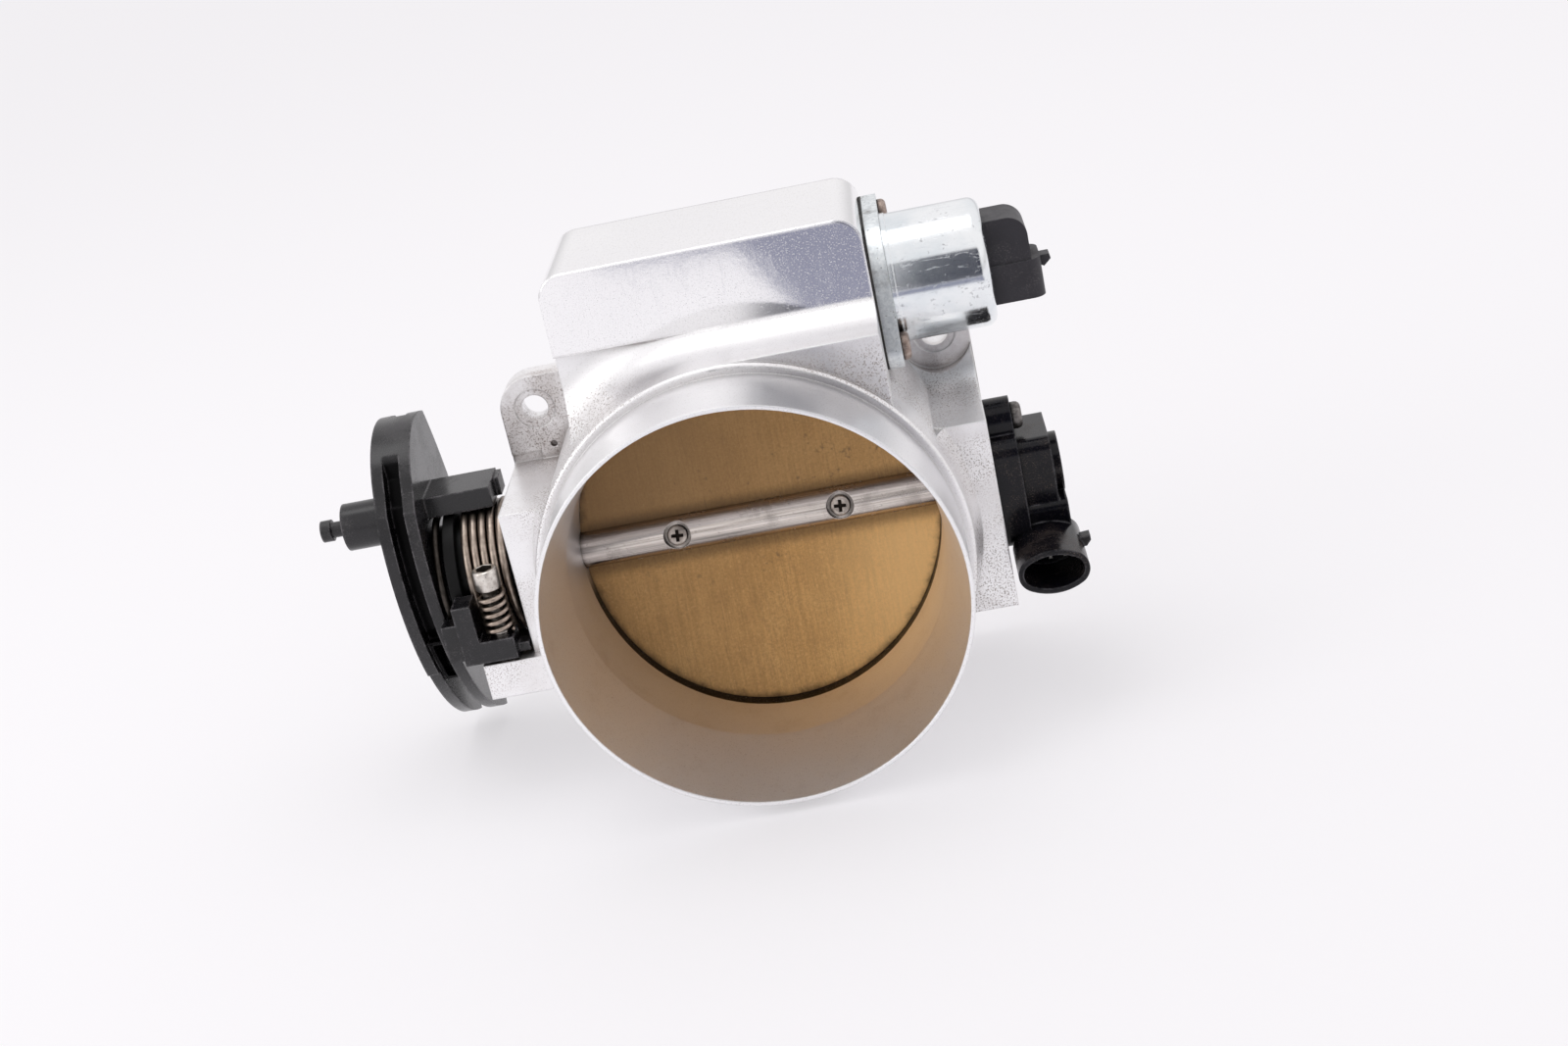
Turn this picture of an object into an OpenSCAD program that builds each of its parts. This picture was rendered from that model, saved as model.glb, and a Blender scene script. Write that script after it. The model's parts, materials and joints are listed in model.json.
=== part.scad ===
// Cable-operated throttle body, machined from billet.
// Frame: the origin is the centre of the engine-side face, on the bore axis. +Y points into the
// engine, +X runs along the shaft towards the position sensor, +Z is up. Millimetres.

/* [Bore and inlet tube] */
// Diameter of the throttle bore
bore_d = 92; // [90:0.5:93]
// Outside diameter of the inlet tube, which an air hose slides over
inlet_d = 101.6; // [101:0.1:103]
// Wall thickness of the inlet tube at its lip
lip_wall = 1.0; // [0.8:0.1:1.5]
// Length from the engine-side face to the inlet lip
body_length = 79.5; // [78:0.5:84]
// Length of the plain part of the inlet tube
tube_length = 22; // [18:0.5:24]
// Radius of the flare where the tube runs into the body
flare_r = 12; // [11:0.5:12]

/* [Engine flange] */
// Bolt spacing across the flange
bolt_x = 104; // [103:0.5:105]
// Bolt spacing up the flange
bolt_z = 70; // [69:0.5:72]
// Diameter of the bolt holes
bolt_hole_d = 7; // [6.5:0.5:7.5]
// Thickness of the bolt ears
ear_t = 7.3; // [6.5:0.1:9]

/* [Shaft and blade] */
// Distance of the shaft axis from the engine-side face
shaft_depth = 22; // [21:0.5:23]
// Diameter of the throttle shaft
shaft_d = 9.5; // [9:0.5:10]
// Thickness of the throttle blade
blade_t = 1.5; // [1.2:0.1:1.6]
// Lean of the closed blade from upright
blade_lean = 12; // [10:0.5:13]
// Distance between the two blade screws
blade_screw_pitch = 42; // [38:1:46]

/* [Idle air housing] */
// Width of the top block
block_w = 77.6; // [77:0.1:78]
// Top of the block above the bore axis
block_top = 77.2; // [76:0.1:79]
// Diameter of the idle valve's motor can
can_d = 31.6; // [30:0.1:32]

/* [Cable cam] */
// Radius of the cam's front arc
cam_r = 60; // [59:0.5:61]
// Thickness of each cam flange
cam_flange_t = 3; // [2.5:0.1:3.4]
// Depth of the cable groove
groove_depth = 5; // [4:0.5:6]

/* [Springs] */
// Wire diameter of the return spring
return_wire_d = 2.1; // [1.8:0.1:2.2]
// Outside diameter of the return spring
return_spring_d = 35; // [34:0.5:35]
// Number of turns of the return spring
return_turns = 5.2; // [4.2:1:5.2]

/* [Hidden] */
$fn = 96;
eps = 0.01;

// Body
bore_r = bore_d / 2;
inlet_r = inlet_d / 2;
bead_r = inlet_r + 2.2;               // raised bead behind the plain tube
bead_y = tube_length - body_length;   // front of the bead
bead_edge = 1;
wall_y = -38;                         // upright wall that the flare runs into
flare_y = wall_y - flare_r;
taper_y = -52.5;                      // where the bore stops and the inlet taper starts
boss_x = 60.5;                        // outer faces of the side bosses
boss_y = -43;
boss_z = -27;                         // underside of both bosses
boss_top = [21.2, 22.5];              // tops of the left and the right boss
cove_r = 12;                          // inside corners round the right boss
shaft_y = -shaft_depth;
shaft_r = shaft_d / 2;
ear_r = 8.8;
spot_r = 5.25;                        // spot face round each bolt hole
cutter_r = 9.5;                       // clearance for the bolt head above the right boss
stop_x = -73.3;
stop_y = [shaft_y - 24.5, shaft_y - 6];
stop_z = [-25.6, -16.1];

// Idle air housing
block_x = [39.66 - block_w, 39.66];
block_y = -40.7;
block_z = 57.2;
block_corner_r = 6;
shelf_y = -55.5;                      // front of the corner filler beside the tube
shelf_z = bead_r - 0.2;
iac_y = shaft_y + 2;
iac_z = 54.8;
chamber_r = 7;
seat_x = 7.9;
seat_r = 4.5;
cross_x = -3.5;                       // drilled passage that crosses to the engine side

// Bearings
bearing_r = 7;
bearing_l = 10;
seal_l = 2;
running_r = shaft_r + 0.05;           // running fit on the shaft
pocket_x = boss_x - bearing_l - seal_l;

// Cam
cam_x = -81.8;                        // inner face of the cam
cam_w = 10.2;
cam_centre = [43, 6.7];               // centres of the cam's three arcs, from the shaft axis
cam_top_centre = [10.6, 15.6];
cam_top_r = 24.8;
cam_back_centre = [-78, -8];
cam_back_r = 108.8;
hub_r = 12.9;
hub_x = -78.6;
insert_r = 7.5;
insert_x = -85.8;
nut_pocket_r = 9.2;
washer_t = 1.2;
nut_t = 4.4;
rim_step_z = -23;                     // below this the outer rim is lower, for the cable end
pocket_z = [-26.2, -14.1];            // pocket in the groove for the cable's nipple
core_end_z = -27.2;                   // where the groove's floor ends
thread_r = 4;
stud_at = [-7, 20.5];                   // cruise stud, from the shaft axis
arm_z = [17.9, 23.3];
tab_z = [-14.9, -9.2];
screw_at = [-67.2, -21.6];              // idle screw: place along the shaft, and from its axis

// Springs
return_r = (return_spring_d - return_wire_d) / 2;
return_x = [-74, -62.2];
spacer_x = -78.2;

// Idle air control valve
gasket_t = 0.54;
flange_x = block_x[1] + gasket_t;
flange_t = 3.7;
can_x = flange_x + flange_t;
can_r = can_d / 2;
can_end = 68;
can_wall = 1.2;
iac_screw_angle = 40;
iac_screw_r = 19.6;                   // distance of each screw from the valve's axis
pintle_x = 26;                        // back of the pintle's head
rotor_x = [47.5, 61];

// Throttle position sensor
tps_x = boss_x;
tps_base_t = 6.5;
tps_cover_t = 8;
tps_ears = [[-3, 15.8], [3, -15.8]];
barrel_at = [70.15, -15.8];              // centre of the connector barrel: along X, and height
barrel_y = [shaft_y - 30, shaft_y - 8];
barrel_r = 4.6;                       // end radius, half distance of the ends, half height
barrel_half = 4.1;
barrel_top = 5.65;
rotor_r = 7;
card_r = 8.6;
card_x = tps_x + tps_base_t + 3.5;    // face of the resistor card

// A cylinder along X, from x to x + length, on the axis (y, z)
module rod_x(x, length, r, y = shaft_y, z = 0) {
    translate([x, y, z]) rotate([0, 90, 0]) cylinder(h = length, r = r);
}

// A cylinder along Y, from y to y + length
module rod_y(y, length, r, x = 0, z = 0) {
    translate([x, y, z]) rotate([-90, 0, 0]) cylinder(h = length, r = r);
}

// A box between two corners
module box(low, high) {
    translate(low) cube(high - low);
}

// An outline in X and Z, as a slab from y0 to y1
module slab_y(y0, y1) {
    translate([0, y1, 0]) rotate([90, 0, 0]) linear_extrude(y1 - y0) children();
}

// An outline in Y and Z about a point, as a slab from x to x + length
module slab_x(x, length, y = shaft_y, z = 0) {
    translate([x, y, z]) rotate([90, 0, 90]) linear_extrude(length) children();
}

// A profile of radius and place along Y, turned round the bore axis
module turned_y() {
    rotate([-90, 0, 0]) rotate_extrude() children();
}

// A profile of radius and place along X, turned round the axis (y, z)
module turned_x(y = shaft_y, z = 0) {
    translate([0, y, z]) rotate([0, 90, 0]) rotate_extrude() children();
}

// A rectangle with round corners, between two corner points
module round_rect(low, high, r) {
    translate([low[0] + r, low[1]]) square([high[0] - low[0] - 2 * r, high[1] - low[1]]);
    translate([low[0], low[1] + r]) square([high[0] - low[0], high[1] - low[1] - 2 * r]);
    for (x = [low[0] + r, high[0] - r], y = [low[1] + r, high[1] - r])
        translate([x, y]) circle(r);
}

// A coil along Z with a straight leg at each end, swept as rings of points
function coil_point(r, pitch, a) = [r * cos(a), r * sin(a), pitch * a / 360];
function coil_along(a) = [-sin(a), cos(a), 0];
function coil_centre(r, pitch, turns, leg, steps, i) =
    i < 0 ? coil_point(r, pitch, 0) - leg * coil_along(0)
    : i > steps ? coil_point(r, pitch, 360 * turns) + leg * coil_along(360 * turns)
    : coil_point(r, pitch, 360 * turns * i / steps);
module coil(r, wire_r, pitch, turns, leg = 0, per_turn = 24, sides = 8) {
    steps = round(per_turn * turns);
    first = leg > 0 ? -1 : 0;
    last = leg > 0 ? steps + 1 : steps;
    rings = last - first + 1;
    points = [for (i = [first:last], j = [0:sides - 1])
        let (a = 360 * turns * min(max(i, 0), steps) / steps, b = 360 * j / sides)
        coil_centre(r, pitch, turns, leg, steps, i)
            + wire_r * (cos(b) * [cos(a), sin(a), 0] + [0, 0, sin(b)])];
    walls = [for (i = [0:rings - 2], j = [0:sides - 1], half = [0, 1])
        let (k = (j + 1) % sides, a = i * sides, b = a + sides)
        half == 0 ? [a + j, b + j, b + k] : [a + j, b + k, a + k]];
    ends = [[for (j = [0:sides - 1]) j],
        [for (j = [sides - 1:-1:0]) (rings - 1) * sides + j]];
    polyhedron(points, concat(walls, ends), convexity = 10);
}

// ---- Body ----

module body_profile() {
    translate([0, -body_length]) square([inlet_r, body_length]);
    translate([0, bead_y + bead_edge]) square([bead_r, -bead_y - bead_edge]);
    translate([0, bead_y]) square([bead_r - bead_edge, bead_edge]);
    translate([bead_r - bead_edge, bead_y + bead_edge]) circle(bead_edge);
}

module flare_profile(out_r) {
    difference() {
        translate([0, flare_y]) square([out_r, flare_r]);
        translate([bead_r + flare_r, flare_y]) circle(flare_r);
    }
}

// The neck under the top block: the flare runs round its left half, and turns into a straight
// cove above the shelf on its right half
module neck() {
    box([block_x[0], wall_y, 0], [block_x[1], 0, block_z + eps]);
    intersection() {
        turned_y() flare_profile(bead_r + flare_r - eps);
        box([block_x[0], flare_y, 0], [8, wall_y + eps, block_z]);
    }
    difference() {
        box([0, flare_y, shelf_z - 1], [block_x[1], wall_y + eps, block_z]);
        rod_x(-1, block_w, flare_r, flare_y, shelf_z + flare_r);
    }
    box([0, shelf_y, 0], [block_x[1], wall_y + eps, shelf_z]);
}

// The side bosses, with the flare running into their front faces
module side_bosses() {
    for (side = [0, 1]) mirror([1 - side, 0, 0]) {
        box([0, boss_y, boss_z], [boss_x, 0, boss_top[side]]);
        intersection() {
            turned_y() flare_profile(bead_r + flare_r - eps);
            box([0, flare_y, boss_z], [boss_x, boss_y + eps, boss_top[side]]);
        }
    }
}

// Rounded inside corners where the right boss meets the neck and the upper bolt ear
module right_coves() {
    low = boss_top[1];
    difference() {
        box([block_x[1] - 1, boss_y, low - 1], [block_x[1] + cove_r, 0, low + cove_r]);
        rod_y(boss_y - 1, -boss_y + 2, cove_r, block_x[1] + cove_r, low + cove_r);
    }
    difference() {
        box([block_x[1], -ear_t - cove_r, low - 1], [boss_x, -ear_t, low + cove_r]);
        rod_x(block_x[1] - 1, boss_x, cove_r, -ear_t - cove_r, low + cove_r);
    }
}

module top_block() {
    slab_y(block_y, 0) {
        round_rect([block_x[0], block_z], [block_x[1], block_top], block_corner_r);
        translate([block_x[0], block_z]) square([block_w, block_corner_r]);
    }
}

module engine_flange() {
    half = [bolt_x / 2 + ear_r, bolt_z / 2 + ear_r];
    slab_y(-ear_t, 0) round_rect(-half, half, ear_r);
}

module bolt_holes() {
    for (x = [-bolt_x / 2, bolt_x / 2], z = [-bolt_z / 2, bolt_z / 2]) {
        rod_y(-ear_t - 1, ear_t + 2, bolt_hole_d / 2, x, z);
        rod_y(-ear_t - 1, 1.5, spot_r, x, z);
    }
}

// The idle air path: in from the bore ahead of the blade, past the pintle, and out behind it
module idle_air_path() {
    rod_x(seat_x, block_x[1] - seat_x + 1, chamber_r, iac_y, iac_z);
    rod_x(-8, 17, seat_r, iac_y, iac_z);
    translate([26, shaft_y - 3, bore_r - 16]) cylinder(h = 22, r = 3.5);
    rod_y(iac_y, -iac_y + 1, 3.5, cross_x, iac_z);
    translate([cross_x, -7, bore_r - 8]) cylinder(h = iac_z - bore_r + 8, r = 3);
}

module housing() {
    color([0.86, 0.86, 0.87]) difference() {
        union() {
            turned_y() body_profile();
            side_bosses();
            right_coves();
            box([stop_x, stop_y[0], stop_z[0]], [-50, stop_y[1], stop_z[1]]);
            engine_flange();
            neck();
            top_block();
        }
        rod_y(-body_length - 1, body_length + 2, bore_r);
        translate([0, -body_length, 0]) rotate([-90, 0, 0])
            cylinder(h = body_length + taper_y, r1 = inlet_r - lip_wall, r2 = bore_r);
        rod_x(-boss_x - 1, 2 * boss_x + 2, shaft_r + 0.15);
        rod_x(-boss_x - 1, bearing_l + seal_l + 1, bearing_r);
        rod_x(pocket_x, bearing_l + seal_l + 1, bearing_r);
        bolt_holes();
        rod_y(boss_y - 1, -boss_y - ear_t + 1, cutter_r, bolt_x / 2, bolt_z / 2);
        box([-boss_x - 1, -ear_t - 1, boss_top[0]], [-boss_x + 7.5, -ear_t + 0.6, boss_top[0] + 2.4]);
        rod_y(-ear_t - 1, 3, 0.9, -49.3, 24.8);
        idle_air_path();
        for (side = [-1, 1])
            rod_x(block_x[1] - 8, 9, 1.7, iac_y + side * iac_screw_r * cos(iac_screw_angle),
                iac_z + side * iac_screw_r * sin(iac_screw_angle));
        for (ear = tps_ears)
            rod_x(boss_x - 9, 10, 1.6, shaft_y + ear[0], ear[1]);
    }
}

module needle_bearing(x) {
    color([0.55, 0.56, 0.58]) difference() {
        rod_x(x, bearing_l, bearing_r);
        rod_x(x - 1, bearing_l + 2, running_r);
    }
}
module bearing_left() { needle_bearing(-boss_x + seal_l); }
module bearing_right() { needle_bearing(pocket_x); }

module shaft_seal(x) {
    color([0.08, 0.08, 0.08]) difference() {
        rod_x(x, seal_l, bearing_r);
        rod_x(x - 1, seal_l + 2, running_r);
    }
}
module seal_left() { shaft_seal(-boss_x); }
module seal_right() { shaft_seal(boss_x - seal_l); }

// Closes the outer end of the drilled cross passage
module passage_plug() {
    color([0.8, 0.8, 0.82]) rod_y(-4, 3.5, 3.5, cross_x, iac_z);
}

// ---- Shaft and blade ----

// Places children on the shaft axis, turned with the closed blade: local Y is the blade's normal
module on_blade() {
    translate([0, shaft_y, 0]) rotate([-blade_lean, 0, 0]) children();
}

screw_head_r = 2.6;
screw_seat_r = 3.5;
screw_seat = 3.0;                     // depth of the screw seats, from the shaft axis
tang_x = 66.8;
tang_start = boss_x + 1.6;
tang_half = 2.5;
collar_r = 6;                         // shoulder that the cam insert is clamped against

module throttle_shaft() {
    color([0.62, 0.61, 0.6]) difference() {
        union() {
            rod_x(insert_x + 0.3, tang_x - insert_x - 0.3, shaft_r);
            rod_x(cam_x - cam_w + 0.2, 10, thread_r);
            rod_x(hub_x, 1.4, collar_r);
        }
        on_blade() {
            box([-bore_r - 0.5, -blade_t / 2 - 0.05, -shaft_r - 1],
                [bore_r + 0.5, blade_t / 2 + 0.05, shaft_r + 1]);
            for (side = [-1, 1]) translate([side * blade_screw_pitch / 2, 0, 0]) {
                rotate([90, 0, 0]) cylinder(h = shaft_r + 1, r = 1.85);
                rotate([-90, 0, 0]) cylinder(h = shaft_r + 1, r = 1.75);
                translate([0, -screw_seat, 0]) rotate([90, 0, 0]) cylinder(h = 4, r = screw_seat_r);
            }
        }
        for (side = [0, 1]) translate([0, shaft_y, 0]) mirror([0, 0, side])
            box([tang_start, -shaft_r - 1, tang_half], [tang_x + 1, shaft_r + 1, shaft_r + 1]);
    }
}

module throttle_blade() {
    color([0.62, 0.5, 0.3]) difference() {
        intersection() {
            on_blade() box([-bore_r, -blade_t / 2, -1.2 * bore_r], [bore_r, blade_t / 2, 1.2 * bore_r]);
            rod_y(-body_length, body_length, bore_r - 0.08);
        }
        on_blade() for (side = [-1, 1])
            translate([side * blade_screw_pitch / 2, 1, 0]) rotate([90, 0, 0]) cylinder(h = 2, r = 1.85);
    }
}

module blade_screws() {
    color([0.7, 0.7, 0.68]) on_blade() for (side = [-1, 1])
        translate([side * blade_screw_pitch / 2, 0, 0]) difference() {
            union() {
                translate([0, shaft_r - 0.2, 0]) rotate([90, 0, 0])
                    cylinder(h = screw_seat + shaft_r - 0.2, r = 1.75);
                translate([0, -screw_seat, 0]) rotate([90, 0, 0]) cylinder(h = 0.8, r = screw_head_r);
                translate([0, -screw_seat - 0.8, 0]) rotate([90, 0, 0])
                    cylinder(h = 0.5, r1 = screw_head_r, r2 = screw_head_r - 0.6);
            }
            for (turn = [45, 135]) rotate([0, turn, 0])
                box([-1.6, -screw_seat - 2, -0.4], [1.6, -screw_seat - 0.4, 0.4]);
        }
}

// ---- Cable cam and idle stop ----

// Side view of the cam. The cable groove runs out at the top, so its floor takes no inset there.
module cam_outline(inset = 0, top_inset = 0) {
    intersection() {
        translate(cam_centre) circle(cam_r - inset, $fn = 180);
        translate(cam_back_centre) circle(cam_back_r - inset, $fn = 360);
        union() {
            translate(cam_top_centre) circle(cam_top_r - top_inset, $fn = 180);
            translate([-20, -60]) square([53, 84]);
            translate([top_inset, -top_inset / 2])
                polygon([[-14.5, 23.9], [-10.9, 28], [0, 28], [0, 23.9]]);
        }
    }
}

module cam_core() {
    difference() {
        slab_x(cam_x - cam_w + cam_flange_t - eps, cam_w - 2 * cam_flange_t + 2 * eps)
            difference() {
                union() {
                    cam_outline(groove_depth, 4);
                    intersection() {
                        cam_outline(groove_depth);
                        translate([-4.5, 10]) square([50, 40]);
                    }
                    intersection() {
                        cam_outline(2.2);
                        translate([-20, core_end_z]) square([30, pocket_z[1] + 1 - core_end_z]);
                    }
                }
                translate([-20, -70]) square([70, 70 + core_end_z]);
            }
        box([cam_x - cam_w + cam_flange_t + 0.9, shaft_y - 20, pocket_z[0]],
            [cam_x - cam_flange_t, shaft_y - 1.5, pocket_z[1]]);
    }
}

module cable_cam() {
    cam_end = cam_x - cam_w;
    color([0.07, 0.07, 0.075]) difference() {
        union() {
            slab_x(cam_x - cam_flange_t, cam_flange_t) cam_outline();
            cam_core();
            slab_x(cam_end, cam_flange_t) difference() {
                cam_outline();
                difference() {
                    translate([-20, -70]) square([70, 70 + rim_step_z]);
                    translate(cam_centre + [1.6, -0.9]) circle(cam_r, $fn = 180);
                }
            }
            rod_x(cam_x - eps, hub_x - cam_x + eps, hub_r);
            cam_arm();
            idle_tab();
            cruise_stud();
        }
        rod_x(cam_end - 1, cam_w + 10, insert_r);
        rod_x(cam_end - 1, insert_x - cam_end + 1, nut_pocket_r);
        translate([screw_at[0], shaft_y + screw_at[1], tab_z[0] - 1]) cylinder(h = 9, r = 2.05);
    }
}

// The arm that the return spring pushes on, with a lip at its end
module cam_arm() {
    box([cam_x - eps, shaft_y - 4.4, arm_z[0]], [-64.6, shaft_y + 9, arm_z[1]]);
    box([-64.6 - eps, shaft_y + 3, arm_z[0]], [-63.4, shaft_y + 9, arm_z[1] - 0.6]);
}

// The tab that carries the idle screw, its gusset on the cam, and a lip at its end
module idle_tab() {
    box([-77.2, shaft_y - 25.5, tab_z[0]], [-63.7, shaft_y - 17.9, tab_z[1]]);
    difference() {
        union() {
            box([-77.2, shaft_y - 25.5, tab_z[0]], [-72.4, shaft_y - 12, 0.9]);
            box([cam_x - eps, shaft_y - 22, tab_z[0]], [-77.1, shaft_y - 12, -5]);
        }
        rod_x(cam_x, 10, 18);
    }
    box([-63.7 - eps, shaft_y - 22, tab_z[0]], [-61, shaft_y - 17.9, tab_z[0] + 2.3]);
}

// The stud that a cruise control link snaps on
module cruise_stud() {
    x = cam_x - cam_w;
    y = shaft_y + stud_at[0];
    rod_x(x - 9.6, 9.6 + eps, 6, y, stud_at[1]);
    rod_x(x - 13.4, 3.8 + eps, 2, y, stud_at[1]);
    rod_x(x - 16, 2.6 + eps, 2.75, y, stud_at[1]);
}

module cam_insert() {
    color([0.6, 0.6, 0.6]) difference() {
        rod_x(insert_x, hub_x - insert_x, insert_r);
        rod_x(insert_x - 1, 10, shaft_r);
    }
}

module cam_washer() {
    color([0.65, 0.65, 0.63]) difference() {
        rod_x(insert_x - washer_t, washer_t, nut_pocket_r - 0.2);
        rod_x(insert_x - 2, 3, thread_r);
    }
}

module cam_nut() {
    color([0.65, 0.63, 0.55]) difference() {
        translate([insert_x - washer_t - nut_t, shaft_y, 0]) rotate([0, 90, 0])
            cylinder(h = nut_t, r = 7.5, $fn = 6);
        rod_x(insert_x - 8, 8, thread_r);
    }
}

// Springs run along X round the shaft
module return_spring() {
    pitch = (return_x[1] - return_x[0]) / return_turns;
    color([0.45, 0.41, 0.36]) translate([return_x[0], shaft_y, 0]) rotate([0, 90, 0])
        coil(return_r, return_wire_d / 2, pitch, return_turns);
}

module helper_spring() {
    color([0.45, 0.41, 0.36]) translate([-80.7, shaft_y, 0]) rotate([0, 90, 0])
        rotate([0, 0, 150]) coil(return_r - 0.4, 0.95, 2.0, 0.7);
}

module spring_guide() {
    color([0.08, 0.08, 0.08]) difference() {
        rod_x(return_x[0] - 1.3, -boss_x - return_x[0] + 1.3, 14.9);
        rod_x(return_x[0] - 2, 20, shaft_r + 0.35);
    }
}

module spring_spacer() {
    color([0.06, 0.06, 0.06]) difference() {
        rod_x(spacer_x, return_x[0] - 1.3 - spacer_x, 17.4);
        rod_x(spacer_x - 1, 5, collar_r + 0.4);
    }
}

module idle_screw() {
    x = screw_at[0];
    y = shaft_y + screw_at[1];
    color([0.6, 0.58, 0.55]) translate([x, y, 0]) difference() {
        union() {
            translate([0, 0, stop_z[1] + 0.05]) cylinder(h = 20, r = 2);
            translate([0, 0, 3.2]) cylinder(h = 5, r = 3.2);
            translate([0, 0, 8.2]) cylinder(h = 0.5, r1 = 3.2, r2 = 2.7);
        }
        translate([0, 0, 5.4]) cylinder(h = 4, r = 2, $fn = 6);
    }
}

idle_coil_pitch = 2.05;
idle_wire_r = 0.62;
idle_coil_turns = (3.2 - tab_z[1] - 2 * idle_wire_r - 0.1) / idle_coil_pitch;

module idle_screw_spring() {
    color([0.5, 0.46, 0.38])
        translate([screw_at[0], shaft_y + screw_at[1], tab_z[1] + idle_wire_r + 0.05])
        coil(3.15, idle_wire_r, idle_coil_pitch, idle_coil_turns, per_turn = 20);
}

// ---- Idle air control valve ----

// A round plate with two screw ears, with straight sides that touch the circles
module eared_plate(x, t, r, ear, reach) {
    touch = acos((r - ear) / reach);
    big = r * [cos(touch), sin(touch)];
    small = [reach, 0] + ear * [cos(touch), sin(touch)];
    rod_x(x, t, r, 0, 0);
    for (side = [0, 180]) rotate([side, 0, 0]) {
        rod_x(x, t, ear, reach, 0);
        slab_x(x, t, 0, 0)
            polygon([[0, -r / 2], [big[0], -big[1]], [small[0], -small[1]], small, big, [0, r / 2]]);
    }
}

module valve_plate(x, t) {
    translate([0, iac_y, iac_z]) rotate([iac_screw_angle, 0, 0]) difference() {
        eared_plate(x, t, can_r + 0.8, 5, iac_screw_r);
        rod_x(x - 1, t + 2, chamber_r, 0, 0);
        for (side = [-1, 1]) rod_x(x - 1, t + 2, 2.2, side * iac_screw_r, 0);
    }
}

module iac_gasket() { color([0.1, 0.1, 0.1]) valve_plate(block_x[1], gasket_t); }
module iac_flange() { color([0.75, 0.79, 0.82]) valve_plate(flange_x, flange_t); }

module iac_can() {
    corner = 2.7;
    color([0.78, 0.83, 0.86]) turned_x(iac_y, iac_z) difference() {
        union() {
            translate([0, can_x]) square([can_r + 0.25, 1.3]);
            translate([0, can_x]) square([can_r, can_end - corner - can_x]);
            translate([0, can_x]) square([can_r - corner, can_end - can_x]);
            translate([can_r - corner, can_end - corner]) circle(corner);
        }
        translate([0, can_x + 1.5]) square([can_r - can_wall, can_end - can_x - 3.5]);
        translate([0, can_x - 1]) square([3.4, 4]);
        translate([0, can_end - 3]) square([5.5, 4]);
    }
}

module iac_screws() {
    color([0.45, 0.36, 0.3])
        for (side = [-1, 1]) {
            y = iac_y + side * iac_screw_r * cos(iac_screw_angle);
            z = iac_z + side * iac_screw_r * sin(iac_screw_angle);
            rod_x(flange_x + flange_t - 11, 11, 1.7, y, z);
            difference() {
                rod_x(flange_x + flange_t, 2.1, 3.5, y, z);
                rod_x(flange_x + flange_t + 1, 2, 1.9, y, z);
            }
        }
}

module iac_stator() {
    color([0.6, 0.35, 0.2]) difference() {
        rod_x(46.5, 16, can_r - can_wall, iac_y, iac_z);
        rod_x(46, 17, 9.2, iac_y, iac_z);
    }
}

module iac_rotor() {
    color([0.25, 0.25, 0.26]) difference() {
        rod_x(rotor_x[0], rotor_x[1] - rotor_x[0], 8.6, iac_y, iac_z);
        rod_x(rotor_x[0] - 1, rotor_x[1] - rotor_x[0] + 2, 2.85, iac_y, iac_z);
    }
}

module iac_pintle() {
    color([0.3, 0.3, 0.32]) {
        rod_x(pintle_x - 1, 60 - pintle_x + 1, 2.8, iac_y, iac_z);
        rod_x(pintle_x - 6, 6, 6, iac_y, iac_z);
        translate([pintle_x - 15, iac_y, iac_z]) rotate([0, 90, 0]) cylinder(h = 9, r1 = 2.5, r2 = 6);
    }
}

module iac_pintle_spring() {
    length = can_x - pintle_x - 1.4;
    color([0.5, 0.5, 0.5]) translate([pintle_x + 0.7, iac_y, iac_z]) rotate([0, 90, 0])
        coil(4.6, 0.5, length / 5, 5, per_turn = 20, sides = 6);
}

// The elbow that turns the connector downwards
elbow_y = [iac_y - 7, iac_y + 7];
elbow_z = [45.2, 54.8, 66];
elbow_x = [78.2, 80.4];

module iac_connector() {
    color([0.1, 0.1, 0.105]) difference() {
        union() {
            slab_y(elbow_y[0] + 0.4, elbow_y[1] - 0.4) {
                round_rect([can_end, elbow_z[1] - 6], [elbow_x[0], elbow_z[2]], 4.9);
                translate([can_end, elbow_z[1]]) square([5, elbow_z[2] - elbow_z[1]]);
            }
            translate([0, 0, elbow_z[0]]) linear_extrude(elbow_z[1] - elbow_z[0]) {
                round_rect([can_end, elbow_y[0]], [elbow_x[1], elbow_y[1]], 3);
                translate([can_end, elbow_y[0]]) square([4, elbow_y[1] - elbow_y[0]]);
            }
            slab_y(iac_y - 2, iac_y + 2) polygon([[elbow_x[1] - eps, 54], [elbow_x[1] + 2.4, 54],
                [elbow_x[1] + 2.6, 52.8], [elbow_x[1] + 0.8, 51.2], [elbow_x[1] - eps, 51.6]]);
        }
        box([can_end + 2, elbow_y[0] + 1.6, elbow_z[0] - 1],
            [elbow_x[1] - 1.6, elbow_y[1] - 1.6, elbow_z[1] - 0.3]);
    }
}

module iac_terminals() {
    color([0.75, 0.68, 0.45])
        for (x = [-1.8, 1.8], y = [-2.5, 2.5])
            translate([74.7 + x - 0.4, iac_y + y - 0.4, elbow_z[0] + 2]) cube([0.8, 0.8, 7.3]);
}

// ---- Throttle position sensor ----

module tps_base() {
    color([0.06, 0.06, 0.065]) difference() {
        slab_x(tps_x, tps_base_t) {
            round_rect([-14, -15.5], [12, 13], 4);
            for (ear = tps_ears) {
                translate(ear) circle(5.2);
                translate([ear[0] - 5.2, min(ear[1], 0)]) square([10.4, abs(ear[1])]);
            }
        }
        rod_x(tps_x - 1, 3, 9);
        rod_x(tps_x - 1, tps_base_t + 2, rotor_r + 0.05);
        for (ear = tps_ears) rod_x(tps_x - 1, tps_base_t + 2, 2, shaft_y + ear[0], ear[1]);
    }
}

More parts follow.
